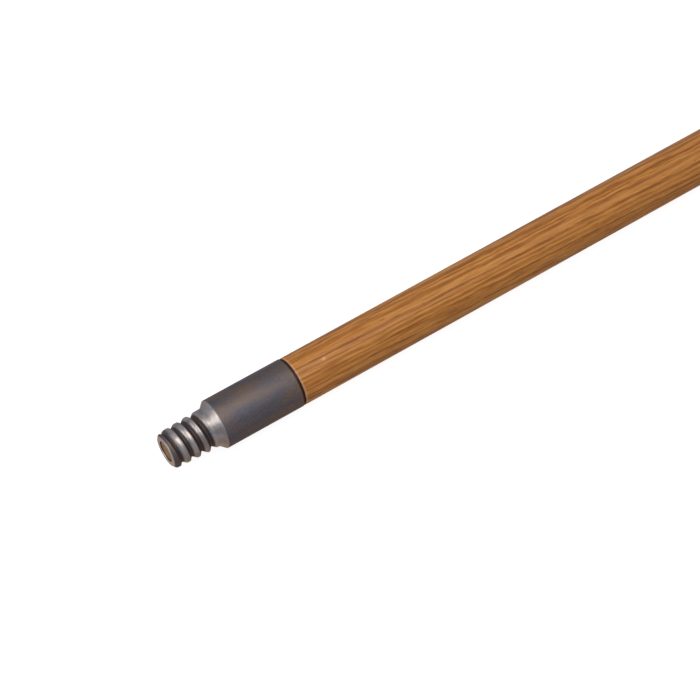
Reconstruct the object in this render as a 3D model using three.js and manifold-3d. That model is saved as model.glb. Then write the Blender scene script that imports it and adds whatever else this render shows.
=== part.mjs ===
// A roller extension pole: a wooden pole with a hollow steel ferrule on one end, whose outside is
// cut with a coarse right-hand thread that a roller frame's handle screws onto.
//
// Millimetres. The pole lies along X, +Z up. The origin is on the pole's axis at the seat, where the
// collar behind the thread meets the conical shoulder. The threaded tip points to -X and the butt to +X.
// Angles around the pole are counted from +Y towards +Z.

import * as THREE from "three";
import { mergeVertices } from "three/addons/utils/BufferGeometryUtils.js";
import Module from "manifold-3d";

// ---- driving dimensions ----

// Overall
const OVERALL_LENGTH = 1219.2; // 48 in, from the threaded tip to the butt
const POLE_DIAMETER = 23.8;

// Ferrule, outside
const TIP_LENGTH = 23.3; // thread and collar, in front of the seat
const COLLAR_DIAMETER = 19.05; // 3/4 in, the thread's nominal size
const SHOULDER_LENGTH = 2.6; // the cone from the collar up to the sleeve
const SLEEVE_LENGTH = 40.1; // the straight part that holds the pole
const SLEEVE_PROUD = 0.15; // how far it stands above the wood behind it
const LEAD_LENGTH = 17.0; // the crests widen over this length, up to the collar's diameter
const LEAD_DROP = 0.75; // how far the first crest lies below the collar
const TIP_CHAMFER_LENGTH = 1.3;
const TIP_CHAMFER_DEPTH = 1.5;
const MOUTH_CHAMFER = 0.25;

// Thread. Its flanks lean by these angles from the plane square to the pole, in degrees.
const PITCH = 5.08; // 5 turns to the inch
const THREAD_DEPTH = 1.9;
const TIP_FLANK_ANGLE = 46; // the flank of a crest that looks towards the tip
const SEAT_FLANK_ANGLE = 36;
const ROOT_WIDTH = 0.6;
const GROOVE_END = 2.9; // in front of the seat
const GROOVE_END_ANGLE = 262.5; // degrees
const RUNOUT_ANGLE = 75; // the groove rises out of the collar over this many degrees

// Ferrule, inside
const TIP_BORE_DIAMETER = 10.2;
const SLEEVE_WALL = 1.6;
const BORE_STEP = 6.0; // the wide bore starts this far behind the seat
const BORE_STEP_LENGTH = 3.0;

// Pole
const NOSE_RECESS = 0.6; // the nose stops this far inside the end face
const NOSE_CHAMFER = 0.5;
const SHOULDER_GAP = 0.8; // left open between the ferrule's mouth and the pole's shoulder
const SHOULDER_CHAMFER = 0.45;
const BUTT_ROUNDING = 7.0;

// Lock pin
const PIN_DIAMETER = 3.2;
const PIN_LENGTH = 17.0;
const PIN_POINT_LENGTH = 2.5;
const PIN_POINT_DIAMETER = 1.4;
const PIN_EDGE = 0.2;
const PIN_SINK = 0.15; // its head stops this far under the sleeve's surface
const PIN_FROM_MOUTH = 13.0;

// Fits
const CLEARANCE = 0.3; // between pieces that fit into each other

// ---- values that follow ----

const TIP_X = -TIP_LENGTH;
const SLEEVE_X = SHOULDER_LENGTH;
const MOUTH_X = SLEEVE_X + SLEEVE_LENGTH;
const POLE_SHOULDER_X = MOUTH_X + SHOULDER_GAP;
const BUTT_X = TIP_X + OVERALL_LENGTH;
const POLE_RADIUS = POLE_DIAMETER / 2;
const SLEEVE_RADIUS = POLE_RADIUS + SLEEVE_PROUD;
const COLLAR_RADIUS = COLLAR_DIAMETER / 2;
const SLEEVE_BORE_RADIUS = SLEEVE_RADIUS - SLEEVE_WALL;
const TIP_BORE_RADIUS = TIP_BORE_DIAMETER / 2;
const TENON_RADIUS = SLEEVE_BORE_RADIUS - CLEARANCE;
const NOSE_RADIUS = TIP_BORE_RADIUS - CLEARANCE;
const PIN_X = MOUTH_X - PIN_FROM_MOUTH;
const PIN_HEAD_Y = SLEEVE_RADIUS - PIN_SINK;

const STEPS_PER_TURN = 48;
const OUTSIDE = 1; // how far a cutter reaches past the surface it opens

// ---- materials ----

const STEEL = new THREE.MeshStandardMaterial({ color: 0x6f6a69, roughness: 0.4, metalness: 1 });
const WOOD = new THREE.MeshStandardMaterial({ color: 0xaa733c, roughness: 0.45, metalness: 0 });
const PIN_STEEL = new THREE.MeshStandardMaterial({ color: 0x9a9794, roughness: 0.35, metalness: 1 });

// ---- solids ----

const wasm = await Module();
wasm.setup();

function toSolid(geometry) {
  const bare = geometry.clone();
  bare.deleteAttribute("normal");
  bare.deleteAttribute("uv");
  const merged = mergeVertices(bare, 1e-4);
  const mesh = new wasm.Mesh({
    numProp: 3,
    vertProperties: new Float32Array(merged.attributes.position.array),
    triVerts: new Uint32Array(merged.index.array),
  });
  return new wasm.Manifold(mesh);
}

function toGeometry(solid) {
  const mesh = solid.getMesh();
  const geometry = new THREE.BufferGeometry();
  geometry.setAttribute("position", new THREE.BufferAttribute(mesh.vertProperties, 3));
  geometry.setIndex(new THREE.BufferAttribute(mesh.triVerts, 1));
  geometry.computeVertexNormals();
  return geometry;
}

// A shape turned about the X axis, from a profile of [x, radius] points.
function turned(profile) {
  const points = profile.map(([x, radius]) => new THREE.Vector2(radius, x));
  return new THREE.LatheGeometry(points, STEPS_PER_TURN).rotateZ(-Math.PI / 2);
}

// ---- threaded ferrule ----

// The path of the thread's groove, along its root. It is spaced by angle, and each section of the
// groove stands in a plane through the pole's axis. Towards its end it rises out of the metal.
class GroovePath extends THREE.Curve {
  constructor() {
    super();
    this.endAngle = THREE.MathUtils.degToRad(GROOVE_END_ANGLE);
    const turns = (TIP_LENGTH - GROOVE_END) / PITCH + 0.5;
    this.steps = Math.ceil(turns * STEPS_PER_TURN);
    this.sweep = (this.steps / STEPS_PER_TURN) * 2 * Math.PI;
  }

  angleAt(t) {
    return this.endAngle - (1 - t) * this.sweep;
  }

  getPoint(t) {
    const angle = this.angleAt(t);
    const before = this.endAngle - angle;
    const runout = THREE.MathUtils.degToRad(RUNOUT_ANGLE);
    const rise = Math.max(0, 1 - before / runout) ** 2;
    const radius = COLLAR_RADIUS - THREAD_DEPTH * (1 - rise);
    const x = -GROOVE_END - (PITCH * before) / (2 * Math.PI);
    return new THREE.Vector3(x, radius * Math.cos(angle), radius * Math.sin(angle));
  }

  getUtoTmapping(u) {
    return u;
  }

  computeFrenetFrames(segments) {
    const frames = { tangents: [], normals: [], binormals: [] };
    for (let i = 0; i <= segments; i += 1) {
      const angle = this.angleAt(i / segments);
      frames.tangents.push(new THREE.Vector3(0, -Math.sin(angle), Math.cos(angle)));
      frames.normals.push(new THREE.Vector3(0, Math.cos(angle), Math.sin(angle)));
      frames.binormals.push(new THREE.Vector3(-1, 0, 0));
    }
    return frames;
  }
}

// The groove's section: x is outwards from the root, y is along the pole, towards the tip.
function grooveSection() {
  const lean = (angle) => THREAD_DEPTH * Math.tan(THREE.MathUtils.degToRad(angle));
  const root = ROOT_WIDTH / 2;
  const tipSide = root + lean(SEAT_FLANK_ANGLE);
  const seatSide = root + lean(TIP_FLANK_ANGLE);
  return new THREE.Shape([
    new THREE.Vector2(0, -root),
    new THREE.Vector2(THREAD_DEPTH, -seatSide),
    new THREE.Vector2(THREAD_DEPTH + OUTSIDE, -seatSide),
    new THREE.Vector2(THREAD_DEPTH + OUTSIDE, tipSide),
    new THREE.Vector2(THREAD_DEPTH, tipSide),
    new THREE.Vector2(0, root),
  ]);
}

function threadGroove() {
  const path = new GroovePath();
  return new THREE.ExtrudeGeometry(grooveSection(), { steps: path.steps, extrudePath: path });
}

function ferruleBlank() {
  const leadRadius = COLLAR_RADIUS - LEAD_DROP;
  return turned([
    [TIP_X, TIP_BORE_RADIUS],
    [TIP_X, leadRadius - TIP_CHAMFER_DEPTH],
    [TIP_X + TIP_CHAMFER_LENGTH, leadRadius],
    [TIP_X + LEAD_LENGTH, COLLAR_RADIUS],
    [0, COLLAR_RADIUS],
    [SLEEVE_X, SLEEVE_RADIUS],
    [MOUTH_X - MOUTH_CHAMFER, SLEEVE_RADIUS],
    [MOUTH_X, SLEEVE_RADIUS - MOUTH_CHAMFER],
    [MOUTH_X, SLEEVE_BORE_RADIUS],
    [BORE_STEP + BORE_STEP_LENGTH, SLEEVE_BORE_RADIUS],
    [BORE_STEP, TIP_BORE_RADIUS],
    [TIP_X, TIP_BORE_RADIUS],
  ]);
}

function threadedFerrule() {
  const solid = toSolid(ferruleBlank()).subtract(toSolid(threadGroove())).subtract(toSolid(pinHole()));
  const mesh = new THREE.Mesh(toGeometry(solid), STEEL);
  mesh.name = "threaded_ferrule";
  return mesh;
}

// ---- wooden pole ----

// The pole's butt: a quarter round that leaves a flat in the middle.
function buttProfile() {
  const steps = 8;
  const profile = [];
  for (let i = 0; i <= steps; i += 1) {
    const angle = (i / steps) * (Math.PI / 2);
    const x = BUTT_X - BUTT_ROUNDING * (1 - Math.sin(angle));
    profile.push([x, POLE_RADIUS - BUTT_ROUNDING * (1 - Math.cos(angle))]);
  }
  return profile;
}

// The nose fills the thread's bore, and the tenon behind it fills the sleeve.
function poleBlank() {
  const noseX = TIP_X + NOSE_RECESS;
  return turned([
    [noseX, 0],
    [noseX, NOSE_RADIUS - NOSE_CHAMFER],
    [noseX + NOSE_CHAMFER, NOSE_RADIUS],
    [BORE_STEP + CLEARANCE, NOSE_RADIUS],
    [BORE_STEP + BORE_STEP_LENGTH + CLEARANCE, TENON_RADIUS],
    [POLE_SHOULDER_X, TENON_RADIUS],
    [POLE_SHOULDER_X, POLE_RADIUS - SHOULDER_CHAMFER],
    [POLE_SHOULDER_X + SHOULDER_CHAMFER, POLE_RADIUS],
    ...buttProfile(),
    [BUTT_X, 0],
  ]);
}

function woodPole() {
  const solid = toSolid(poleBlank()).subtract(toSolid(pinHole()));
  const mesh = new THREE.Mesh(toGeometry(solid), WOOD);
  mesh.name = "wood_pole";
  return mesh;
}

// ---- lock pin ----

// The hole through the sleeve's wall and into the tenon, square to the pole, opening at +Y.
function pinHole() {
  const length = PIN_LENGTH + PIN_SINK + CLEARANCE + OUTSIDE;
  const radius = PIN_DIAMETER / 2 + CLEARANCE;
  const middle = PIN_HEAD_Y - PIN_LENGTH - CLEARANCE + length / 2;
  return new THREE.CylinderGeometry(radius, radius, length, STEPS_PER_TURN / 2).translate(PIN_X, middle, 0);
}

function lockPin() {
  const radius = PIN_DIAMETER / 2;
  const profile = [
    new THREE.Vector2(0, -PIN_LENGTH),
    new THREE.Vector2(PIN_POINT_DIAMETER / 2, -PIN_LENGTH),
    new THREE.Vector2(radius, PIN_POINT_LENGTH - PIN_LENGTH),
    new THREE.Vector2(radius, -PIN_EDGE),
    new THREE.Vector2(radius - PIN_EDGE, 0),
    new THREE.Vector2(0, 0),
  ];
  const mesh = new THREE.Mesh(new THREE.LatheGeometry(profile, STEPS_PER_TURN / 2), PIN_STEEL);
  mesh.name = "lock_pin";
  mesh.position.set(PIN_X, PIN_HEAD_Y, 0);
  return mesh;
}

// ---- assembly ----

const pole = new THREE.Group();
pole.add(woodPole(), threadedFerrule(), lockPin());

export default pole;
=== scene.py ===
"""The looks of a roller extension pole: a lacquered wooden dowel with a threaded steel ferrule.

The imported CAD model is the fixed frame. Every piece here stands for one of its nodes, in the same
place: the pole lies along X with its threaded tip at -X, and +Z is up. Angles around the pole are
counted from +Y towards +Z. Sizes in the classes are in millimetres and meshes are in metres.
"""

from __future__ import annotations

import logging
import math
from dataclasses import dataclass, field
from enum import Enum
from typing import Any, Iterable, Sequence

import bpy
import numpy as np
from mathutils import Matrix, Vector


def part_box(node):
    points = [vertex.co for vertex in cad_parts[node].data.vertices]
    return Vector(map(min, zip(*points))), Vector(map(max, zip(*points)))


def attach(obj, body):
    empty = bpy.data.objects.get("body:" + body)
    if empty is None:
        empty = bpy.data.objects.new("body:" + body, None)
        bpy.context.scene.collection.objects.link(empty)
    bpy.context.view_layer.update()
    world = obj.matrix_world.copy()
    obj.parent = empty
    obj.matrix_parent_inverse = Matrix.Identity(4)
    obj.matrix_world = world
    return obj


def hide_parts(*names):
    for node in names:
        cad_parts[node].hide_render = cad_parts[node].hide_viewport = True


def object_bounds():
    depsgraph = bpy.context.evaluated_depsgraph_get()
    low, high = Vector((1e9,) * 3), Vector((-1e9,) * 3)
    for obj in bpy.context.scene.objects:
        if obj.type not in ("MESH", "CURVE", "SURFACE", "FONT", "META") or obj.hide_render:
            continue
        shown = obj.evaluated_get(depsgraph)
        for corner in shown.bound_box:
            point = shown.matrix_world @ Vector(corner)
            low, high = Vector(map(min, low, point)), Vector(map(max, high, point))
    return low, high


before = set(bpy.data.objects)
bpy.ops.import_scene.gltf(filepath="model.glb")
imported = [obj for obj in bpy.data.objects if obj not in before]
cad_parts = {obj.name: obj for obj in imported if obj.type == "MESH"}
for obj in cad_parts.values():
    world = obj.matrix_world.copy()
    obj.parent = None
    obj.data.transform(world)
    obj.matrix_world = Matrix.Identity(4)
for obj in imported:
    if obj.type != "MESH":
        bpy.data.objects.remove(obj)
CAD_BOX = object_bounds()

MM = 0.001
SKIN = 0.01  # mm that the outside surfaces stay inside the CAD nodes' boxes
TINY = 1e-6  # mm that make no difference
MERGED = 1e-7  # metres within which two vertices are one
SMOOTH_ANGLE = math.radians(35)  # edges that bend less than this are shaded smooth
LOG = logging.getLogger("extension_pole")

Tree = bpy.types.NodeTree
Socket = bpy.types.NodeSocket


class Slot(Enum):
    """The record's material slots."""

    WOOD = "lacquered_wood"
    FERRULE = "ferrule_steel"
    PIN = "pin_steel"


class Cut(Enum):
    """How one solid changes another."""

    REMOVE = "DIFFERENCE"
    KEEP_COMMON = "INTERSECT"


# ---- small helpers ----


def linear(colour: str) -> tuple[float, float, float, float]:
    """Turns an sRGB colour into the linear one that shaders use.

    Args:
        colour: the colour as "#RRGGBB".

    Returns:
        Linear red, green, blue and an alpha of 1.
    """
    channels = [int(colour[i : i + 2], 16) / 255 for i in (1, 3, 5)]
    light = [c / 12.92 if c <= 0.04045 else ((c + 0.055) / 1.055) ** 2.4 for c in channels]
    return (*light, 1.0)


def direction(azimuth: float, elevation: float) -> Vector:
    """Gives the direction from the object towards a place around it.

    Args:
        azimuth: degrees around +Z, 0 in front at -Y, growing towards +X.
        elevation: degrees above the horizon.

    Returns:
        A unit vector.
    """
    a, e = math.radians(azimuth), math.radians(elevation)
    return Vector((math.sin(a) * math.cos(e), -math.cos(a) * math.cos(e), math.sin(e)))


def aimed(towards: Vector) -> tuple[float, float, float]:
    """Gives the turn of a camera or light at `towards` that looks back at the object."""
    return tuple((-towards).to_track_quat("-Z", "Y").to_euler())


def deselect() -> None:
    """Deselects every object."""
    bpy.ops.object.select_all(action="DESELECT")


def activate(piece: bpy.types.Object) -> None:
    """Makes one object the only selected one, and the active one."""
    deselect()
    piece.select_set(True)
    bpy.context.view_layer.objects.active = piece


def add_node(
    tree: Tree,
    kind: str,
    inputs: dict[str | int, Any] | None = None,
    out: str | int = 0,
    **settings: Any,
) -> Socket:
    """Adds one node with its settings and links.

    Args:
        tree: the material's or the world's node tree.
        kind: the node's type, without "ShaderNode" in front.
        inputs: what each input gets, by its name or number: a socket to link, or a value.
        out: the output that is wanted, by its name or number.
        settings: the node's own properties.

    Returns:
        That output of the new node.
    """
    node = tree.nodes.new("ShaderNode" + kind)
    for name, value in settings.items():
        setattr(node, name, value)
    for key, value in (inputs or {}).items():
        if isinstance(value, Socket):
            tree.links.new(value, node.inputs[key])
        else:
            node.inputs[key].default_value = value
    return node.outputs[out]


def ramp(node: bpy.types.Node, stops: Sequence[tuple[float, str]]) -> None:
    """Gives a colour ramp its stops.

    Args:
        node: the ramp's node.
        stops: each stop's place from 0 to 1 and its sRGB colour.
    """
    elements = node.color_ramp.elements
    while len(elements) < len(stops):
        elements.new(1.0)
    for element, (place, colour) in zip(elements, stops):
        element.position = place
        element.color = linear(colour)


# ---- modelling, as on a lathe ----


@dataclass(frozen=True)
class Corner:
    """A corner of a turned profile.

    Attributes:
        x: place along the pole, mm.
        radius: distance from the pole's axis, mm.
        rounding: radius of the corner's own rounding, mm.
    """

    x: float
    radius: float
    rounding: float = 0.0


def rounded(corners: Sequence[Corner], closed: bool) -> list[Vector]:
    """Rounds the corners of a profile.

    Args:
        corners: the profile's corners in order.
        closed: whether the last corner is followed by the first.

    Returns:
        Points (x, 0, radius) in mm, with short arcs in place of the rounded corners.
    """
    arc_steps = 5
    points: list[Vector] = []
    count = len(corners)
    for i, corner in enumerate(corners):
        here = Vector((corner.x, 0, corner.radius))
        at_end = not closed and i in (0, count - 1)
        if corner.rounding == 0 or at_end:
            points.append(here)
            continue
        before, after = corners[i - 1], corners[(i + 1) % count]
        back = (Vector((before.x, 0, before.radius)) - here).normalized()
        ahead = (Vector((after.x, 0, after.radius)) - here).normalized()
        half = back.angle(ahead) / 2
        reach = corner.rounding / math.tan(half)
        centre = here + (back + ahead).normalized() * (corner.rounding / math.sin(half))
        start, end = here + back * reach - centre, here + ahead * reach - centre
        sweep = start.angle(end)
        for step in range(arc_steps + 1):
            share = step / arc_steps
            mix = start * math.sin((1 - share) * sweep) + end * math.sin(share * sweep)
            points.append(centre + mix / math.sin(sweep))
    return points


def with_rings(points: Sequence[Vector], start: float, end: float, spacing: float) -> list[Vector]:
    """Adds points along the parts of a profile that lie in a stretch of the pole.

    Args:
        points: the profile, in mm.
        start: where the stretch starts, mm.
        end: where it ends, mm.
        spacing: the most that two neighbouring points may lie apart there, mm.

    Returns:
        The profile with the added points.
    """
    finer: list[Vector] = []
    for here, there in zip(points, points[1:]):
        finer.append(here)
        low, high = sorted((here.x, there.x))
        inside = start - TINY <= low and high <= end + TINY
        steps = math.ceil((there - here).length / spacing) if inside else 1
        finer.extend(here.lerp(there, step / steps) for step in range(1, steps))
    finer.append(points[-1])
    return finer


def turned(name: str, points: Sequence[Vector], sides: int) -> bpy.types.Object:
    """Turns a profile about the pole's axis.

    A plane is merged to one vertex, which is extruded from point to point and then spun.

    Args:
        name: the new object's name.
        points: the profile in mm. Where it ends on the axis, its pole is closed.
        sides: how many flats go round.

    Returns:
        The new object, with its place in its mesh.
    """
    deselect()
    bpy.ops.mesh.primitive_plane_add(size=MM, location=(0, 0, 0))
    piece = bpy.context.object
    piece.name = piece.data.name = name
    bpy.ops.object.mode_set(mode="EDIT")
    bpy.ops.mesh.merge(type="CENTER")
    bpy.ops.transform.translate(value=points[0] * MM)
    for here, there in zip(points, points[1:]):
        bpy.ops.mesh.extrude_vertices_move(TRANSFORM_OT_translate={"value": (there - here) * MM})
    bpy.ops.mesh.select_all(action="SELECT")
    bpy.ops.mesh.spin(steps=sides, angle=math.tau, center=(0, 0, 0), axis=(1, 0, 0))
    bpy.ops.mesh.select_all(action="SELECT")
    bpy.ops.mesh.remove_doubles(threshold=MERGED)
    bpy.ops.mesh.normals_make_consistent(inside=False)
    bpy.ops.object.mode_set(mode="OBJECT")
    return piece


def cut(piece: bpy.types.Object, tool: bpy.types.Object, how: Cut) -> None:
    """Cuts a piece with another solid, which is used up.

    Args:
        piece: the piece to change.
        tool: the other solid.
        how: what the cut leaves.
    """
    activate(piece)
    modifier = piece.modifiers.new("cut", "BOOLEAN")
    modifier.operation = how.value
    modifier.solver = "EXACT"
    modifier.object = tool
    bpy.ops.object.modifier_apply(modifier=modifier.name)
    bpy.data.objects.remove(tool)


def finish_piece(
    piece: bpy.types.Object, material: bpy.types.Material, node: str
) -> bpy.types.Object:
    """Smooths a piece, dresses it and puts it in its CAD node's place.

    Args:
        piece: the finished mesh.
        material: its finish.
        node: the CAD node that it stands for.

    Returns:
        The piece.
    """
    activate(piece)
    bpy.ops.object.shade_smooth_by_angle(angle=SMOOTH_ANGLE)
    piece.data.materials.clear()
    piece.data.materials.append(material)
    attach(piece, "root")
    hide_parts(node)
    LOG.info("%s: %d faces, %s", piece.name, len(piece.data.polygons), material.name)
    return piece


# ---- finishes ----


@dataclass(frozen=True)
class Spots:
    """A cloudy pattern, which other patterns are mixed from.

    Attributes:
        length: of its spots along the pole, mm.
        width: of its spots across the pole, mm.
        detail: how many finer layers are added.
        roughness: how strong the finer layers are, from 0 to 1.
        distortion: how much the spots are stirred.
        seed: picks one pattern out of many.
    """

    length: float
    width: float
    detail: float = 2.0
    roughness: float = 0.5
    distortion: float = 0.0
    seed: float | None = None

    def build(self, tree: Tree, place: Socket) -> Socket:
        """Adds the pattern to a material.

        Args:
            tree: the material's node tree.
            place: the point's place, mm.

        Returns:
            The pattern's value, which is around 0.5.
        """
        scale = (1 / self.length, 1 / self.width, 1 / self.width)
        inputs = {
            "Vector": add_node(tree, "Mapping", {"Vector": place, "Scale": scale}),
            "Scale": 1.0,
            "Detail": self.detail,
            "Roughness": self.roughness,
            "Distortion": self.distortion,
        }
        if self.seed is None:
            return add_node(tree, "TexNoise", inputs)
        inputs["W"] = self.seed
        return add_node(tree, "TexNoise", inputs, noise_dimensions="4D")


def started(name: str) -> tuple[bpy.types.Material, Tree]:
    """Starts a material.

    Args:
        name: what the material is on the real object.

    Returns:
        The material and its node tree.
    """
    material = bpy.data.materials.new(name)
    material.use_nodes = True
    return material, material.node_tree


def place_in_mm(tree: Tree) -> Socket:
    """Gives a material each point's place in the frame, in mm."""
    place = add_node(tree, "TexCoord", out="Object")
    return add_node(tree, "Mapping", {"Vector": place, "Scale": (1 / MM,) * 3})


def set_shader(tree: Tree, inputs: dict[str, Any]) -> None:
    """Links or sets the inputs of a material's shader.

    Args:
        tree: the material's node tree.
        inputs: what each input gets, by its name: a socket to link, or a value.
    """
    shader = tree.nodes["Principled BSDF"]
    for name, value in inputs.items():
        if isinstance(value, Socket):
            tree.links.new(value, shader.inputs[name])
        else:
            shader.inputs[name].default_value = value


@dataclass(frozen=True)
class LacqueredHardwood:
    """Straight-grained hardwood, turned, sanded and dipped in amber lacquer.

    The rings are nearly flat where they cross a pole cut from far outside the heart, so its side
    shows long even stripes and its end shows gentle arcs. The lacquer gives a soft, wide gloss.

    Attributes:
        early: the light band of a ring.
        middle: between the two.
        late: the dark band.
        blush: the redder tone of some bands.
        end_grain: colour that the cut ends take on, as they drink more lacquer.
        scuff: a spot where the lacquer is rubbed thin.
        edge_highlight: a pale band behind the joint, a painted highlight on the shoulder's edge.
        joint_floor: near black painted into the joint behind the ferrule's mouth, as the shade in its
            gap.
        ring_width: of a middling ring, mm.
        heart_distance: from the tree's heart to the pole's axis, mm.
        ring_angle: where the outermost ring lies, in degrees around the pole.
        grain_slope: how far the grain runs off the pole's axis, in degrees.
        seed: picks one board out of many.
        slow_wander: how the rings wander along the pole.
        slow_reach: how far they wander, mm.
        near_wander: how they wander at close range.
        near_reach: how far they do, mm.
        good_years: how often wide rings and narrow ones take turns, per mm.
        good_reach: how much wider they get, mm.
        season: the part of half a ring over which the wood darkens.
        shade_changes: how often the shade changes in half a ring, apart from that.
        uneven_share: how much these changes count.
        fading: how the bands fade in and out along the pole.
        fading_share: how much of the banding fades.
        fibres: the finest streaks, drawn about twice as coarse as real fibres.
        fibre_strength: how much they count beside the banding.
        lightness: how far the tone is shifted towards early wood.
        blushes: how the redder bands lie.
        pores: short dashes, drawn about twice as coarse as real pores.
        pore_range: the pattern's values where pores start and are full.
        smears: how unevenly the lacquer lies.
        gloss: the lacquer's roughness where it lies best and worst.
        grain_depth: height of the grain that the lacquer leaves, mm.
        scuff_at: where the rubbed spot lies, mm.
        scuff_size: its reach along each axis, mm.
        edge_highlight_reach: how far behind the joint the painted highlight starts to fade and ends,
            mm.
    """

    early: str = "#CD8D43"
    middle: str = "#B1722E"
    late: str = "#864D15"
    blush: str = "#B46E3E"
    end_grain: str = "#8C6B4C"
    scuff: str = "#E3BC82"
    edge_highlight: str = "#DDB596"
    joint_floor: str = "#32160C"
    ring_width: float = 2.7
    heart_distance: float = 85.0
    ring_angle: float = 209.2
    grain_slope: float = -1.4
    seed: float = 25.9
    slow_wander: Spots = Spots(120, 14, detail=1.0, seed=seed)
    slow_reach: float = 3.2
    near_wander: Spots = Spots(8, 2.6)
    near_reach: float = 1.3
    good_years: float = 0.21
    good_reach: float = 5.0
    season: tuple[float, float] = (0.05, 0.95)
    shade_changes: float = 2.3
    uneven_share: float = 0.4
    fading: Spots = Spots(17, 1.3)
    fading_share: float = 0.33
    fibres: Spots = Spots(13, 0.9, detail=3.0, roughness=0.6)
    fibre_strength: float = 1.1
    lightness: float = 0.58
    blushes: Spots = Spots(60, 2.5)
    pores: Spots = Spots(5, 0.5, detail=1.0)
    pore_range: tuple[float, float] = (0.66, 0.82)
    smears: Spots = Spots(40, 6, detail=4.0)
    gloss: tuple[float, float] = (0.34, 0.56)
    grain_depth: float = 0.05
    scuff_at: tuple[float, float, float] = (58.3, -3.68, 11.32)
    scuff_size: tuple[float, float, float] = (1.1, 0.8, 0.8)
    edge_highlight_reach: tuple[float, float] = (0.5, 1.2)

    def build(self, joint_x: float) -> bpy.types.Material:
        """Makes the material.

        Args:
            joint_x: where the joint behind the ferrule's mouth ends, mm.

        Returns:
            The material.
        """
        material, tree = started("lacquered_hardwood")
        place = place_in_mm(tree)
        # The grain's own axes: along it, across the rings and along the rings.
        turn = (math.radians(-self.ring_angle), 0, math.radians(self.grain_slope))
        grain = add_node(tree, "Mapping", {"Vector": place, "Rotation": turn})
        fibre = self.fibres.build(tree, grain)
        start, full = self.pore_range
        pore = self.pores.build(tree, grain)
        pore = add_node(tree, "MapRange", {"Value": pore, "From Min": start, "From Max": full})

        colour = self.grown(tree, grain, fibre)
        inputs = {0: pore, 6: colour, 7: linear(self.late)}
        colour = add_node(tree, "Mix", inputs, out=2, data_type="RGBA")
        colour = self.scuffed(tree, colour, place, fibre)
        colour = self.with_end_grain(tree, colour)
        colour = self.with_joint(tree, colour, place, joint_x)

        # The lacquer levels out most of the grain, and lies a little uneven.
        smear = self.smears.build(tree, grain)
        best, worst = self.gloss
        inputs = {0: pore, 1: -0.8, 2: fibre}
        height = add_node(tree, "Math", inputs, operation="MULTIPLY_ADD")
        bump = {"Height": height, "Strength": 0.35, "Distance": self.grain_depth * MM}
        set_shader(
            tree,
            {
                "Base Color": colour,
                "Roughness": add_node(
                    tree, "MapRange", {"Value": smear, "To Min": best, "To Max": worst}
                ),
                "Normal": add_node(tree, "Bump", bump),
                "IOR": 1.5,
                "Specular IOR Level": 0.35,
                "Coat Weight": 0.06,
                "Coat Roughness": 0.28,
            },
        )
        return material

    def half_rings(self, tree: Tree, grain: Socket) -> Socket:
        """Counts the tree's rings in halves, from the heart outwards.

        Args:
            tree: the material's node tree.
            grain: the place in the grain's own axes.

        Returns:
            How many half rings lie inside a point, with their fraction.
        """
        parts = add_node(tree, "SeparateXYZ", {0: grain}).node.outputs
        inputs = {0: parts["Y"], 1: self.heart_distance}
        from_heart = add_node(tree, "Math", inputs, operation="ADD")
        flat = add_node(tree, "CombineXYZ", {"X": from_heart, "Y": parts["Z"]})
        ring = add_node(tree, "VectorMath", {0: flat}, out="Value", operation="LENGTH")
        for wander, reach in (
            (self.slow_wander, self.slow_reach),
            (self.near_wander, self.near_reach),
        ):
            inputs = {0: wander.build(tree, grain), 1: reach, 2: ring}
            ring = add_node(tree, "Math", inputs, operation="MULTIPLY_ADD")
        inputs = {0: ring, 1: self.good_years, 2: self.seed}
        turns = add_node(tree, "Math", inputs, operation="MULTIPLY_ADD")
        inputs = {"W": turns, "Scale": 1.0, "Detail": 2.0}
        good = add_node(tree, "TexNoise", inputs, noise_dimensions="1D")
        inputs = {0: good, 1: self.good_reach, 2: ring}
        ring = add_node(tree, "Math", inputs, operation="MULTIPLY_ADD")
        return add_node(tree, "Math", {0: ring, 1: self.ring_width / 2}, operation="DIVIDE")

    def grown(self, tree: Tree, grain: Socket, fibre: Socket) -> Socket:
        """Gives the wood's colour with its bands and streaks.

        Args:
            tree: the material's node tree.
            grain: the place in the grain's own axes.
            fibre: the pattern of fibres.

        Returns:
            The colour.
        """
        # Each ring darkens from early to late wood, and lightens again.
        halves = self.half_rings(tree, grain)
        phase = add_node(tree, "Math", {0: halves, 1: 1.0}, operation="PINGPONG")
        start, full = self.season
        inputs = {"Value": phase, "From Min": start, "From Max": full}
        banding = add_node(tree, "MapRange", inputs, interpolation_type="SMOOTHSTEP")
        inputs = {"W": halves, "Scale": self.shade_changes, "Detail": 3.0}
        uneven = add_node(tree, "TexNoise", inputs, noise_dimensions="1D")
        fading = self.fading.build(tree, grain)
        for share, pattern in ((self.uneven_share, uneven), (self.fading_share, fading)):
            inputs = {"Value": pattern, "From Min": 0.3, "From Max": 0.7}
            pattern = add_node(tree, "MapRange", inputs)
            banding = add_node(tree, "Mix", {0: share, 2: banding, 3: pattern}, data_type="FLOAT")

        inputs = {0: fibre, 1: self.fibre_strength, 2: banding}
        tone = add_node(tree, "Math", inputs, operation="MULTIPLY_ADD")
        tone = add_node(tree, "Math", {0: tone, 1: self.lightness}, operation="SUBTRACT")
        colour = add_node(tree, "ValToRGB", {"Fac": tone})
        ramp(colour.node, [(0.12, self.early), (0.5, self.middle), (0.92, self.late)])

        blush = self.blushes.build(tree, grain)
        inputs = {"Value": blush, "From Min": 0.45, "From Max": 0.65, "To Max": 0.16}
        blush = add_node(tree, "MapRange", inputs)
        inputs = {0: blush, 6: colour, 7: linear(self.blush)}
        return add_node(tree, "Mix", inputs, out=2, data_type="RGBA")

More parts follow.
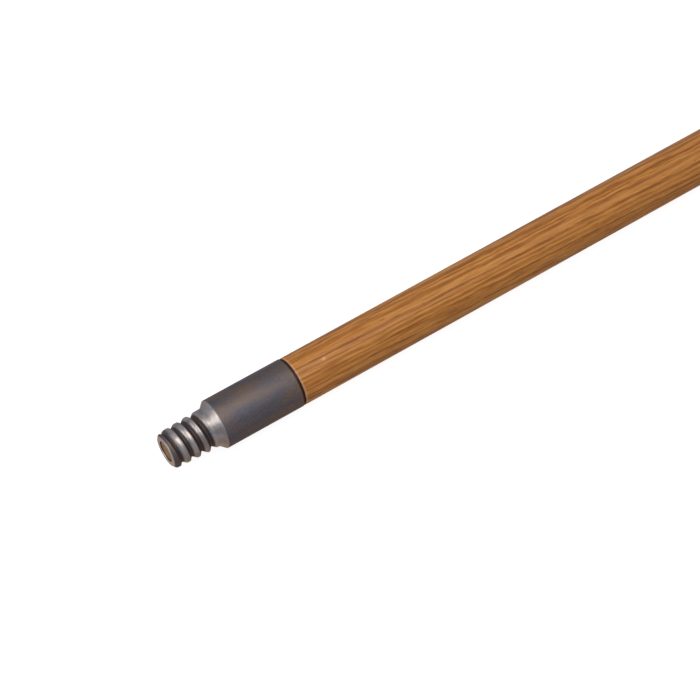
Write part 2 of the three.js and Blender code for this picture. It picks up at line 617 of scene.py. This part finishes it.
    def scuffed(self, tree: Tree, colour: Socket, place: Socket, fibre: Socket) -> Socket:
        """Adds the small rubbed spot, with edges that the fibres fray.

        Args:
            tree: the material's node tree.
            colour: the colour so far.
            place: the point's place, mm.
            fibre: the pattern of fibres.

        Returns:
            The colour with the spot.
        """
        inputs = {
            "Vector": place,
            "Location": [-at / size for at, size in zip(self.scuff_at, self.scuff_size)],
            "Scale": [1 / size for size in self.scuff_size],
        }
        near = add_node(tree, "Mapping", inputs)
        away = add_node(tree, "VectorMath", {0: near}, out="Value", operation="LENGTH")
        away = add_node(tree, "Math", {0: fibre, 1: 1.4, 2: away}, operation="MULTIPLY_ADD")
        inputs = {"Value": away, "From Min": 1.7, "From Max": 1.0, "To Max": 0.6}
        spot = add_node(tree, "MapRange", inputs)
        inputs = {0: spot, 6: colour, 7: linear(self.scuff)}
        return add_node(tree, "Mix", inputs, out=2, data_type="RGBA")

    def with_end_grain(self, tree: Tree, colour: Socket) -> Socket:
        """Darkens the cut ends.

        Args:
            tree: the material's node tree.
            colour: the colour so far.

        Returns:
            The colour with dark ends.
        """
        normal = add_node(tree, "NewGeometry", out="Normal")
        facing = add_node(tree, "SeparateXYZ", {0: normal})
        facing = add_node(tree, "Math", {0: facing}, operation="ABSOLUTE")
        inputs = {"Value": facing, "From Min": 0.45, "From Max": 0.95, "To Max": 0.7}
        at_end = add_node(tree, "MapRange", inputs)
        inputs = {0: at_end, 6: colour, 7: linear(self.end_grain)}
        return add_node(tree, "Mix", inputs, out=2, data_type="RGBA")

    def with_joint(self, tree: Tree, colour: Socket, place: Socket, joint_x: float) -> Socket:
        """Adds painted shade in the joint and a painted highlight behind it.

        Args:
            tree: the material's node tree.
            colour: the colour so far.
            place: the point's place, mm.
            joint_x: where the joint behind the ferrule's mouth ends, mm.

        Returns:
            The colour with both.
        """
        # The nose lies in front of the joint too, but gets neither.
        along = add_node(tree, "SeparateXYZ", {0: place})
        behind_tip = add_node(tree, "Math", {0: along, 1: 0.0}, operation="GREATER_THAN")
        fading, gone = self.edge_highlight_reach
        # A pale band behind the joint is a painted highlight on the shoulder's edge, and the joint's
        # floor is painted near black as shade.
        for end, full, strength, tint in (
            (gone, fading, 0.34, self.edge_highlight),
            (0.08, -0.02, 1.0, self.joint_floor),
        ):
            inputs = {
                "Value": along,
                "From Min": joint_x + end,
                "From Max": joint_x + full,
                "To Max": strength,
            }
            share = add_node(tree, "MapRange", inputs)
            share = add_node(tree, "Math", {0: share, 1: behind_tip}, operation="MULTIPLY")
            inputs = {0: share, 6: colour, 7: linear(tint)}
            colour = add_node(tree, "Mix", inputs, out=2, data_type="RGBA")
        return colour


@dataclass(frozen=True)
class FerruleSteel:
    """Drawn steel tube, black with mill scale, turned bright where the thread is cut.

    Mill scale gives the sleeve its dark satin skin with blue and brown clouds. Past the shoulder's
    edge the tool has bared the metal and left fine rings on it. The roots are greased, and painted
    shade darkens them and the flanks that look to the seat; the end face is painted brighter as a
    highlight.

    Attributes:
        bare: turned steel.
        film: dried cutting oil, which dulls the turned steel in patches.
        scale_blue: the bluish clouds of the mill scale.
        scale_brown: its brown clouds.
        grease_and_shade: the dark that the thread's roots take from greasing, also painted there and
            on the flanks that look to the seat as shade.
        thin_grease_and_shade: patches of it that are thin, so that cold steel shows through.
        mouth: a dark brown painted on the edge of the sleeve's mouth, as the joint's shade.
        tool_ring: distance between the tool's rings, drawn coarser than the real 0.1 mm, mm.
        clouds: how blue and brown scale lie, in streaks along the tube.
        speckle: fine mottle that breaks every edge.
        films: how the dried oil lies.
        thins: how the thin patches of grease lie.
        face_edge: the clean end face, which is painted brighter as a highlight, fades out between
            these distances from its plane, mm.
        first_turn: the first turn is greased over, and that ends between these distances, mm.
        grease_and_shade_depth: the roots' greasing and painted shade start, and are full, this far
            below the crests, mm.
        sweep: how much higher the darkening reaches on flanks that look to the seat, as painted
            shade, and how much lower on others, mm.
        ragged: how uneven the edge of the scale is, mm.
        pit_depth: height of the tool's rings and the scale's pits, mm.
    """

    bare: str = "#C0BBB9"
    film: str = "#857A74"
    scale_blue: str = "#6E6C74"
    scale_brown: str = "#857468"
    grease_and_shade: str = "#66564E"
    thin_grease_and_shade: str = "#5A565A"
    mouth: str = "#4A2412"
    tool_ring: float = 0.35
    clouds: Spots = Spots(24, 6, detail=4.0, seed=35.0)
    speckle: Spots = Spots(0.7143, 0.7143, detail=3.0, roughness=0.7)
    films: Spots = Spots(4.545, 4.545, detail=3.0, roughness=0.6, distortion=0.4)
    thins: Spots = Spots(3.125, 3.125)
    face_edge: tuple[float, float] = (0.1, 0.4)
    first_turn: tuple[float, float] = (3.4, 4.6)
    grease_and_shade_depth: tuple[float, float] = (0.25, 0.8)
    sweep: float = 0.7
    ragged: float = 0.35
    pit_depth: float = 0.06

    def build(self, thread: Thread, edge_x: float, mouth_x: float) -> bpy.types.Material:
        """Makes the material.

        Args:
            thread: the thread whose roots are greased and carry painted shade.
            edge_x: where the turned part ends and the mill scale starts, mm.
            mouth_x: the sleeve's open end, mm.

        Returns:
            The material.
        """
        material, tree = started("turned_and_scaled_steel")
        place = place_in_mm(tree)
        speckle = self.speckle.build(tree, place)
        axes = add_node(tree, "SeparateXYZ", {0: place}).node.outputs
        across = add_node(tree, "CombineXYZ", {"X": axes["Y"], "Y": axes["Z"]})
        radius = add_node(tree, "VectorMath", {0: across}, out="Value", operation="LENGTH")

        # The tool's rings run round the pole, along cylinders, cones and the end face alike. The
        # noise's second layer has their spacing, and its first one makes them uneven.
        path = add_node(tree, "Math", {0: axes["X"], 1: radius}, operation="ADD")
        inputs = {"W": path, "Scale": 0.5 / self.tool_ring, "Detail": 4.0, "Roughness": 0.65}
        rings = add_node(tree, "TexNoise", inputs, noise_dimensions="1D")

        start, full = (thread.tip_x + distance for distance in self.face_edge)
        inputs = {"Value": axes["X"], "From Min": start, "From Max": full}
        off_end = add_node(tree, "MapRange", inputs)
        # The thread is darkened where it is greased, and with painted shade in its roots and on its
        # seat-facing flanks.
        grease_and_shade_share = self.grease_and_shade_share(tree, thread, axes["X"], radius, speckle)
        grease_and_shade_share = add_node(tree, "Math", {0: grease_and_shade_share, 1: off_end}, operation="MULTIPLY")
        turned_colour = self.turned_colour(tree, place, rings, off_end, grease_and_shade_share)

        # The turned part ends in a slightly ragged line at the shoulder's edge.
        inputs = {0: speckle, 1: self.ragged, 2: axes["X"]}
        ragged = add_node(tree, "Math", inputs, operation="MULTIPLY_ADD")
        inputs = {"Value": ragged, "From Min": edge_x + 0.05, "From Max": edge_x + 0.35}
        scaled = add_node(tree, "MapRange", inputs)
        inputs = {0: scaled, 6: turned_colour, 7: self.scale_colour(tree, place, speckle)}
        colour = add_node(tree, "Mix", inputs, out=2, data_type="RGBA")

        # The mouth's edge is painted dark brown, as shade from the joint.
        inputs = {
            "Value": ragged,
            "From Min": mouth_x - 0.6,
            "From Max": mouth_x - 0.1,
            "To Max": 0.85,
        }
        mouth_shade = add_node(tree, "MapRange", inputs)
        inputs = {0: mouth_shade, 6: colour, 7: linear(self.mouth)}
        colour = add_node(tree, "Mix", inputs, out=2, data_type="RGBA")

        scale_rough = add_node(tree, "MapRange", {"Value": speckle, "To Min": 0.5, "To Max": 0.7})
        bare_rough = add_node(tree, "MapRange", {"Value": grease_and_shade_share, "To Min": 0.36, "To Max": 0.6})
        inputs = {0: scaled, 2: bare_rough, 3: scale_rough}
        rough = add_node(tree, "Mix", inputs, data_type="FLOAT")
        pits = add_node(tree, "Mix", {0: scaled, 2: rings, 3: speckle}, data_type="FLOAT")
        bump = {"Height": pits, "Strength": 0.5, "Distance": self.pit_depth * MM}
        normal = add_node(tree, "Bump", bump)
        set_shader(
            tree, {"Base Color": colour, "Roughness": rough, "Normal": normal, "Metallic": 1.0}
        )
        return material

    def grease_and_shade_share(
        self, tree: Tree, thread: Thread, along: Socket, radius: Socket, speckle: Socket
    ) -> Socket:
        """Says where the thread is darkened: in the roots, which are greased and carry painted shade,
        up the flanks that look to the seat, which carry painted shade, and on the first turn, which
        is greased.

        Args:
            tree: the material's node tree.
            thread: the thread.
            along: the point's place along the pole, mm.
            radius: its distance from the pole's axis, mm.
            speckle: the fine mottle.

        Returns:
            0 where the metal is clean and 1 where greasing and painted shade darken it fully.
        """
        inputs = {
            "Value": along,
            "From Min": thread.tip_x,
            "From Max": thread.tip_x + thread.lead_length,
            "To Min": thread.collar_radius - thread.lead_drop,
            "To Max": thread.collar_radius,
        }
        crest = add_node(tree, "MapRange", inputs)
        depth = add_node(tree, "Math", {0: crest, 1: radius}, operation="SUBTRACT")
        depth = add_node(tree, "Math", {0: speckle, 1: 0.6, 2: depth}, operation="MULTIPLY_ADD")
        # Flanks that look to the seat are darkened from higher up, and the others from lower down:
        # painted shade.
        normal = add_node(tree, "NewGeometry", out="True Normal")
        inputs = {
            "Value": add_node(tree, "SeparateXYZ", {0: normal}),
            "From Min": -0.6,
            "From Max": 0.6,
            "To Min": -self.sweep,
            "To Max": self.sweep,
        }
        flank_shade = add_node(tree, "MapRange", inputs)
        depth = add_node(tree, "Math", {0: depth, 1: flank_shade}, operation="ADD")
        start, full = self.grease_and_shade_depth
        inputs = {"Value": depth, "From Min": start, "From Max": full}
        grease_and_shade_share = add_node(tree, "MapRange", inputs)

        covered, clean = (thread.tip_x + distance for distance in self.first_turn)
        inputs = {"Value": along, "From Min": clean, "From Max": covered, "To Max": 0.85}
        first = add_node(tree, "MapRange", inputs)
        return add_node(tree, "Math", {0: grease_and_shade_share, 1: first}, operation="MAXIMUM")

    def turned_colour(
        self, tree: Tree, place: Socket, rings: Socket, off_end: Socket, grease_and_shade_share: Socket
    ) -> Socket:
        """Gives the turned steel's colour, with dried oil and greasing on it, painted shade in the
        thread, and the end face painted brighter as a highlight.

        Args:
            tree: the material's node tree.
            place: the point's place, mm.
            rings: the pattern of the tool's rings.
            off_end: 0 on the clean end face, which is painted brighter as a highlight, and 1
                elsewhere.
            grease_and_shade_share: how much greasing and painted shade darken the metal.

        Returns:
            The colour.
        """
        inputs = {"Value": rings, "From Min": 0.25, "From Max": 0.75}
        tone = add_node(tree, "MapRange", inputs | {"To Min": 0.74, "To Max": 1.16})
        inputs = {0: linear(self.bare)[:3], "Scale": tone}
        bare = add_node(tree, "VectorMath", inputs, operation="SCALE")

        inputs = {"Value": self.films.build(tree, place), "From Min": 0.42, "From Max": 0.62}
        film = add_node(tree, "MapRange", inputs | {"To Max": 0.55})
        film = add_node(tree, "Math", {0: film, 1: off_end}, operation="MULTIPLY")
        # The clean end face is painted brighter than the rest: a painted highlight.
        face_highlight = add_node(tree, "MapRange", {"Value": off_end, "To Min": 1.35, "To Max": 1.0})
        bare = add_node(tree, "VectorMath", {0: bare, "Scale": face_highlight}, operation="SCALE")
        inputs = {0: film, 6: bare, 7: linear(self.film)}
        bare = add_node(tree, "Mix", inputs, out=2, data_type="RGBA")

        inputs = {"Value": self.thins.build(tree, place), "From Min": 0.4, "From Max": 0.62}
        thin = add_node(tree, "MapRange", inputs)
        inputs = {0: thin, 6: linear(self.grease_and_shade), 7: linear(self.thin_grease_and_shade)}
        grease_and_shade = add_node(tree, "Mix", inputs, out=2, data_type="RGBA")
        return add_node(tree, "Mix", {0: grease_and_shade_share, 6: bare, 7: grease_and_shade}, out=2, data_type="RGBA")

    def scale_colour(self, tree: Tree, place: Socket, speckle: Socket) -> Socket:
        """Gives the mill scale's colour.

        Args:
            tree: the material's node tree.
            place: the point's place, mm.
            speckle: the fine mottle.

        Returns:
            The colour.
        """
        inputs = {"Value": self.clouds.build(tree, place), "From Min": 0.38, "From Max": 0.62}
        clouds = add_node(tree, "MapRange", inputs)
        inputs = {0: clouds, 6: linear(self.scale_brown), 7: linear(self.scale_blue)}
        colour = add_node(tree, "Mix", inputs, out=2, data_type="RGBA")
        inputs = {"Value": speckle, "From Min": 0.3, "From Max": 0.7}
        mottle = add_node(tree, "MapRange", inputs | {"To Min": 0.78, "To Max": 1.2})
        return add_node(tree, "VectorMath", {0: colour, "Scale": mottle}, operation="SCALE")


@dataclass(frozen=True)
class GroundSteel:
    """A mild steel pin, its head ground flush with a coarse wheel.

    The wheel leaves straight scratches across the head, brighter than the scale around it.

    Attributes:
        colour: ground steel.
        scratches: how the wheel's scratches lie.
        scratch_depth: mm.
    """

    colour: str = "#A8A29D"
    scratches: Spots = Spots(1.8, 0.15, detail=3.0)
    scratch_depth: float = 0.03

    def build(self) -> bpy.types.Material:
        """Makes the material."""
        material, tree = started("ground_mild_steel")
        place = place_in_mm(tree)
        scratch = self.scratches.build(tree, place)
        tone = add_node(tree, "MapRange", {"Value": scratch, "To Min": 0.7, "To Max": 1.2})
        inputs = {0: linear(self.colour)[:3], "Scale": tone}
        colour = add_node(tree, "VectorMath", inputs, operation="SCALE")
        rough = add_node(tree, "MapRange", {"Value": scratch, "To Min": 0.25, "To Max": 0.55})
        bump = {"Height": scratch, "Strength": 0.4, "Distance": self.scratch_depth * MM}
        normal = add_node(tree, "Bump", bump)
        set_shader(
            tree, {"Base Color": colour, "Roughness": rough, "Normal": normal, "Metallic": 1.0}
        )
        return material


@dataclass(frozen=True)
class LightTable:
    """White acrylic of a light table: pale and even, and lit from inside so that it shows no dusk."""

    colour: str = "#8C8C8C"
    glow: float = 0.9

    def build(self) -> bpy.types.Material:
        """Makes the material."""
        material, tree = started("light_table_acrylic")
        set_shader(
            tree,
            {
                "Base Color": linear(self.colour),
                "Roughness": 0.9,
                "Specular IOR Level": 0.1,
                "Emission Color": (1, 1, 1, 1),
                "Emission Strength": self.glow,
            },
        )
        return material


# ---- sub-assemblies ----


@dataclass(frozen=True)
class Thread:
    """The coarse right-hand thread on the ferrule's tip. Sizes in mm, angles in degrees.

    Attributes:
        tip_x: the end face.
        pitch: distance between turns.
        depth: of the groove, below the collar.
        tip_flank: how far the flank that looks towards the tip leans.
        seat_flank: how far the other flank leans.
        root_width: flat at the groove's bottom.
        end_x: where the groove's middle ends.
        end_angle: where round the pole it ends.
        runout: the groove rises out of the metal over this many degrees.
        collar_radius: the crest's radius next to the collar.
        lead_drop: how much lower the first crest is.
        lead_length: length over which the crests rise.
        crest_rounding: how softly the crests' edges are rounded.
        root_rounding: how softly the root is rounded.
        bore_margin: what lies this far below the root belongs to the bore and isn't moved.
        fade_height: the cut fades in over this height above that.
        fade_length: the cut fades out over this length before the seat.
    """

    tip_x: float
    pitch: float = 5.08
    depth: float = 1.9
    tip_flank: float = 46.0
    seat_flank: float = 36.0
    root_width: float = 0.6
    end_x: float = -2.9
    end_angle: float = 262.5
    runout: float = 75.0
    collar_radius: float = 9.525
    lead_drop: float = 0.75
    lead_length: float = 17.0
    crest_rounding: float = 0.25
    root_rounding: float = 0.3
    bore_margin: float = 0.2
    fade_height: float = 0.4
    fade_length: float = 0.5

    def groove_radius(self, x: np.ndarray, angle: np.ndarray) -> np.ndarray:
        """Gives the groove's surface.

        Args:
            x: places along the pole, mm.
            angle: places round it, radians.

        Returns:
            The groove's radius there, mm, which is large where there is no groove.
        """
        turns = math.ceil((self.end_x - self.tip_x) / self.pitch) + 1
        first = np.mod(math.radians(self.end_angle) - angle, math.tau)
        surface = np.full(x.shape, np.inf)
        for turn in range(turns):
            before = first + turn * math.tau
            middle = self.end_x - self.pitch * before / math.tau
            rise = np.clip(1 - before / math.radians(self.runout), 0, 1) ** 2
            root = self.collar_radius - self.depth * (1 - rise)
            lean = np.where(x < middle, self.seat_flank, self.tip_flank)
            wall = (np.abs(x - middle) - self.root_width / 2) / np.tan(np.radians(lean))
            soft = np.sqrt(wall**2 + self.root_rounding**2)
            surface = np.minimum(surface, root + (wall + soft) / 2 - self.root_rounding / 4)
        return surface

    def cut(self, piece: bpy.types.Object) -> None:
        """Cuts the groove into a turned piece.

        No operator makes a groove that rises out of the metal with soft edges, so the vertices of
        the dense outer surface are moved inwards, onto the groove, by place.

        Args:
            piece: the piece, with closely spaced rings where the thread goes.
        """
        mesh = piece.data
        points = np.empty(len(mesh.vertices) * 3)
        mesh.vertices.foreach_get("co", points)
        points = points.reshape(-1, 3) / MM
        x, radius = points[:, 0], np.hypot(points[:, 1], points[:, 2])
        angle = np.arctan2(points[:, 2], points[:, 1])
        gap = self.groove_radius(x, angle) - radius
        soft = np.sqrt(gap**2 + self.crest_rounding**2)
        lowest = self.collar_radius - self.depth - self.bore_margin
        fade = np.clip((radius - lowest) / self.fade_height, 0, 1)
        fade *= np.clip(-x / self.fade_length, 0, 1)
        outer = (x < 0) & (radius > lowest)
        cut_radius = np.where(outer, radius + (gap - soft) / 2 * fade, radius)
        points[:, 1:] *= (cut_radius / np.maximum(radius, TINY))[:, None]
        mesh.vertices.foreach_set("co", (points * MM).ravel())
        mesh.update()


@dataclass
class LockPin:
    """The pin that stops the ferrule from turning on the wood. Sizes in mm.

    Attributes:
        diameter: of its shank.
        length: from the sleeve's surface to the bottom of the pin's hole.
        end_gap: how far the point stays above that bottom.
        point_length: of its taper.
        point_diameter: of its blunt end.
        head_stock: what stands above the sleeve until it is ground off.
        head_depth: how far the ground head ends below the sleeve's surface.
        hole_play: between the pin and its hole, on each side.
        mouth_chamfer: at the hole's mouth.
        tool_rise: how far the hole's tool stands above the sleeve.
        wheel_reach: how far the grinding tool reaches to either side of the pin's middle.
        sides: flats round the pin.
        wheel_sides: flats round the pole that the grinding tool follows.
        steel: its finish.
    """

    diameter: float = 3.2
    length: float = 17.0
    end_gap: float = 0.1
    point_length: float = 2.5
    point_diameter: float = 1.4
    head_stock: float = 0.5
    head_depth: float = 0.04
    hole_play: float = 0.06
    mouth_chamfer: float = 0.25
    tool_rise: float = 1.0
    wheel_reach: float = 5.0
    sides: int = 48
    wheel_sides: int = 240
    steel: GroundSteel = field(default_factory=GroundSteel)

    def __post_init__(self) -> None:
        """Reads the pin's place from its CAD node."""
        low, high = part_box("lock_pin")
        self.x = (low.x + high.x) / 2 / MM
        self.head_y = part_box("threaded_ferrule")[1].y / MM

    def stood_up(self, name: str, corners: Sequence[Corner]) -> bpy.types.Object:
        """Turns a profile and stands it in the pin's hole.

        Args:
            name: the new object's name.
            corners: its profile, with x as the depth below the sleeve's surface.

        Returns:
            The new object.
        """
        piece = turned(name, rounded(corners, closed=False), self.sides)
        activate(piece)
        piece.rotation_euler = (0, 0, -math.pi / 2)
        piece.location = (self.x * MM, self.head_y * MM, 0)
        bpy.ops.object.transform_apply(location=True, rotation=True, scale=True)
        return piece

    def hole(self) -> bpy.types.Object:
        """Makes the tool that opens the pin's hole, with a small chamfer at its mouth."""
        radius = self.diameter / 2 + self.hole_play
        return self.stood_up(
            "hole_tool",
            [
                Corner(-self.tool_rise, 0),
                Corner(-self.tool_rise, radius + self.mouth_chamfer + self.tool_rise),
                Corner(self.mouth_chamfer, radius),
                Corner(self.length, radius),
                Corner(self.length, 0),
            ],
        )

    def wheel(self) -> bpy.types.Object:
        """Makes the tool that grinds the head: what is left lies inside it."""
        radius = self.head_y - self.head_depth
        start, end = self.x - self.wheel_reach, self.x + self.wheel_reach
        corners = [Corner(start, 0), Corner(start, radius), Corner(end, radius), Corner(end, 0)]
        return turned("grinding_tool", rounded(corners, closed=False), self.wheel_sides)

    def build(self) -> bpy.types.Object:
        """Builds the pin, its head ground to the sleeve's own curve.

        Returns:
            The finished piece.
        """
        radius = self.diameter / 2
        end = self.length - self.end_gap
        pin = self.stood_up(
            "ferrule_pin",
            [
                Corner(-self.head_stock, 0),
                Corner(-self.head_stock, radius),
                Corner(self.length - self.point_length, radius, rounding=1.0),
                Corner(end, self.point_diameter / 2, rounding=0.3),
                Corner(end, 0),
            ],
        )
        cut(pin, self.wheel(), Cut.KEEP_COMMON)
        return finish_piece(pin, self.steel.build(), "lock_pin")


@dataclass
class Ferrule:
    """The hollow steel ferrule: threaded tip, collar, shoulder and sleeve. Sizes in mm."""

    shoulder_length: float = 2.6
    tip_chamfer_length: float = 1.3
    tip_chamfer_depth: float = 1.5
    tip_bore_radius: float = 5.1
    sleeve_wall: float = 1.6
    bore_step: float = 6.0
    bore_step_length: float = 3.0
    ring_spacing: float = 0.15
    sides: int = 240
    steel: FerruleSteel = field(default_factory=FerruleSteel)

    def __post_init__(self) -> None:
        """Reads the ferrule's ends and its outside from its CAD node."""
        low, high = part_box("threaded_ferrule")
        self.tip_x, self.mouth_x = low.x / MM + SKIN, high.x / MM
        self.sleeve_radius = high.z / MM - SKIN
        self.thread = Thread(tip_x=self.tip_x)

    def profile(self) -> list[Vector]:
        """Gives the ferrule's closed profile, starting inside the tip."""
        thread = self.thread
        lead = thread.collar_radius - thread.lead_drop
        bore = self.sleeve_radius - self.sleeve_wall
        corners = [
            Corner(self.tip_x, self.tip_bore_radius, rounding=0.25),
            Corner(self.tip_x, lead - self.tip_chamfer_depth, rounding=0.3),
            Corner(self.tip_x + self.tip_chamfer_length, lead, rounding=0.4),
            Corner(self.tip_x + thread.lead_length, thread.collar_radius),
            Corner(0, thread.collar_radius, rounding=0.2),
            Corner(self.shoulder_length, self.sleeve_radius, rounding=0.5),
            Corner(self.mouth_x, self.sleeve_radius, rounding=0.25),
            Corner(self.mouth_x, bore, rounding=0.2),
            Corner(self.bore_step + self.bore_step_length, bore),
            Corner(self.bore_step, self.tip_bore_radius),
        ]
        points = rounded(corners, closed=True)
        points.append(points[0])
        return points

    def build(self, pin: LockPin) -> bpy.types.Object:
        """Builds the ferrule.

        Args:
            pin: the pin whose hole goes through the sleeve.

        Returns:
            The finished piece.
        """
        points = with_rings(self.profile(), self.tip_x, 0, self.ring_spacing)
        piece = turned("steel_ferrule", points, self.sides)
        self.thread.cut(piece)
        cut(piece, pin.hole(), Cut.REMOVE)
        material = self.steel.build(self.thread, self.shoulder_length, self.mouth_x)
        return finish_piece(piece, material, "threaded_ferrule")


@dataclass
class Pole:
    """The wooden pole, with the tenon and nose that fill the ferrule. Sizes in mm.

    The wood fills the joint behind the ferrule's mouth almost up to the surface, and its floor there
    is painted near black as the shade in the gap.

    Attributes:
        fit: between the wood and the ferrule, on each side.
        nose_chamfer: rounding of the nose's edge.
        shoulder_gap: width of the joint behind the ferrule's mouth.
        shoulder_chamfer: rounding of the shoulder's edge.
        joint_depth: how far the joint's floor lies below the surface.
        butt_rounding: of the far end.
        ring_spacing: of the mesh along the pole.
        sides: flats round the pole.
        wood: its finish.
    """

    fit: float = 0.05
    nose_chamfer: float = 0.5
    shoulder_gap: float = 0.8
    shoulder_chamfer: float = 0.4
    joint_depth: float = 0.8
    butt_rounding: float = 7.0
    ring_spacing: float = 30.0
    sides: int = 144
    wood: LacqueredHardwood = field(default_factory=LacqueredHardwood)

    def __post_init__(self) -> None:
        """Reads the pole's ends and its outside from its CAD node."""
        low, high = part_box("wood_pole")
        self.nose_x, self.butt_x = low.x / MM, high.x / MM - SKIN
        self.radius = high.z / MM - SKIN

    def build(self, ferrule: Ferrule, pin: LockPin) -> bpy.types.Object:
        """Builds the pole.

        Args:
            ferrule: the ferrule that it fills.
            pin: the pin whose hole goes into the tenon.

        Returns:
            The finished piece.
        """
        nose = ferrule.tip_bore_radius - self.fit
        tenon = ferrule.sleeve_radius - ferrule.sleeve_wall - self.fit
        joint_floor = self.radius - self.joint_depth
        tenon_x = ferrule.bore_step + ferrule.bore_step_length + self.fit
        shoulder_x = ferrule.mouth_x + self.shoulder_gap
        corners = [
            Corner(self.nose_x, 0),
            Corner(self.nose_x, nose, self.nose_chamfer),
            Corner(ferrule.bore_step + self.fit, nose),
            Corner(tenon_x, tenon),
            Corner(ferrule.mouth_x + self.fit, tenon),
            Corner(ferrule.mouth_x + self.fit, joint_floor),
            Corner(shoulder_x, joint_floor),
            Corner(shoulder_x, self.radius, self.shoulder_chamfer),
            Corner(self.butt_x, self.radius, self.butt_rounding),
            Corner(self.butt_x, 0),
        ]
        points = rounded(corners, closed=False)
        points = with_rings(points, shoulder_x, self.butt_x, self.ring_spacing)
        piece = turned("lacquered_pole", points, self.sides)
        cut(piece, pin.hole(), Cut.REMOVE)
        material = self.wood.build(shoulder_x)
        return finish_piece(piece, material, "wood_pole")


# ---- studio ----


@dataclass(frozen=True)
class SoftLight:
    """One round soft light. Distances in metres, angles in degrees, power in watts."""

    name: str
    azimuth: float
    elevation: float
    distance: float
    size: float
    power: float
    colour: str

    def build(self, aim: Vector) -> bpy.types.Object:
        """Hangs the light and points it.

        Args:
            aim: the point that it shines at.

        Returns:
            The light.
        """
        towards = direction(self.azimuth, self.elevation)
        bpy.ops.object.light_add(
            type="AREA", location=aim + towards * self.distance, rotation=aimed(towards)
        )
        light = bpy.context.object
        light.name = self.name
        light.data.shape = "DISK"
        light.data.size = self.size
        light.data.energy = self.power
        light.data.color = linear(self.colour)[:3]
        light.visible_camera = False
        return light


@dataclass(frozen=True)
class Studio:
    """Camera, floor and light. Distances in metres, angles in degrees."""

    azimuth: float = -33.6
    elevation: float = 56.1
    distance: float = 1.13
    lens: float = 127.54
    sensor: float = 36.0
    nearest: float = 0.01
    past_mouth: float = 0.0322
    floor_size: float = 12.0
    floor_x: float = 0.6
    sky: str = "#F2F4FF"
    sky_strength: float = 0.42
    table: str = "#FFE2CE"
    table_strength: float = 0.43
    dusk: tuple[float, float] = (-0.3, -0.7)
    lights: tuple[SoftLight, ...] = (
        SoftLight("key_light", -33.6, 80.0, 1.25, 1.0, 6.0, "#FFFAF2"),
        SoftLight("wide_light", -33.6, 80.0, 1.3, 2.4, 4.0, "#FFFAF2"),
        SoftLight("tip_light", -96.5, 19.0, 1.2, 0.7, 2.85, "#FFFCF8"),
    )

    def build(self) -> None:
        """Sets up the camera first, then the floor and the light."""
        aim = Vector((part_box("threaded_ferrule")[1].x + self.past_mouth, 0, 0))
        self.set_camera(aim)
        self.lay_floor()
        for light in self.lights:
            light.build(aim)
        self.hang_sky()
        bpy.context.scene.view_settings.view_transform = "Standard"
        LOG.info("studio: camera at azimuth %.1f, elevation %.1f", self.azimuth, self.elevation)

    def set_camera(self, aim: Vector) -> None:
        """Sets up the scene's camera.

        Args:
            aim: the point that it looks at.
        """
        towards = direction(self.azimuth, self.elevation)
        deselect()
        bpy.ops.object.camera_add(location=aim + towards * self.distance, rotation=aimed(towards))
        camera = bpy.context.object
        camera.name = "studio_camera"
        camera.data.lens = self.lens
        camera.data.sensor_width = self.sensor
        camera.data.clip_start = self.nearest
        camera.data.dof.use_dof = False
        bpy.context.scene.camera = camera

    def lay_floor(self) -> None:
        """Lays the light table under the pole."""
        place = (self.floor_x, 0, CAD_BOX[0][2])
        bpy.ops.mesh.primitive_plane_add(size=self.floor_size, location=place)
        floor = bpy.context.object
        floor.name = "studio_floor"
        floor.data.materials.append(LightTable().build())
        floor.visible_diffuse = floor.visible_glossy = floor.visible_shadow = False

    def hang_sky(self) -> None:
        """Lights the object from all around, while the camera sees plain white."""
        world = bpy.data.worlds.new("studio_sky")
        world.use_nodes = True
        tree = world.node_tree
        seen = add_node(tree, "LightPath", out="Is Camera Ray")
        towards = add_node(tree, "TexCoord", out="Generated")
        height = add_node(tree, "SeparateXYZ", {0: towards}, out="Z")
        start, full = self.dusk
        inputs = {"Value": height, "From Min": start, "From Max": full}
        below = add_node(tree, "MapRange", inputs)
        inputs = {0: below, 2: self.sky_strength, 3: self.table_strength}
        around = add_node(tree, "Mix", inputs, data_type="FLOAT")
        inputs = {0: below, 6: linear(self.sky), 7: linear(self.table)}
        tint = add_node(tree, "Mix", inputs, out=2, data_type="RGBA")
        strength = add_node(tree, "Mix", {0: seen, 2: around, 3: 1.0}, data_type="FLOAT")
        inputs = {0: seen, 6: tint, 7: (1, 1, 1, 1)}
        colour = add_node(tree, "Mix", inputs, out=2, data_type="RGBA")
        background = tree.nodes["Background"]
        tree.links.new(colour, background.inputs["Color"])
        tree.links.new(strength, background.inputs["Strength"])
        bpy.context.scene.world = world


def main() -> None:
    """Builds the studio and the pieces."""
    logging.basicConfig(level=logging.INFO, format="%(name)s: %(message)s")
    Studio().build()
    pin = LockPin()
    ferrule = Ferrule()
    ferrule.build(pin)
    Pole().build(ferrule, pin)
    pin.build()


if __name__ == "__main__":
    main()
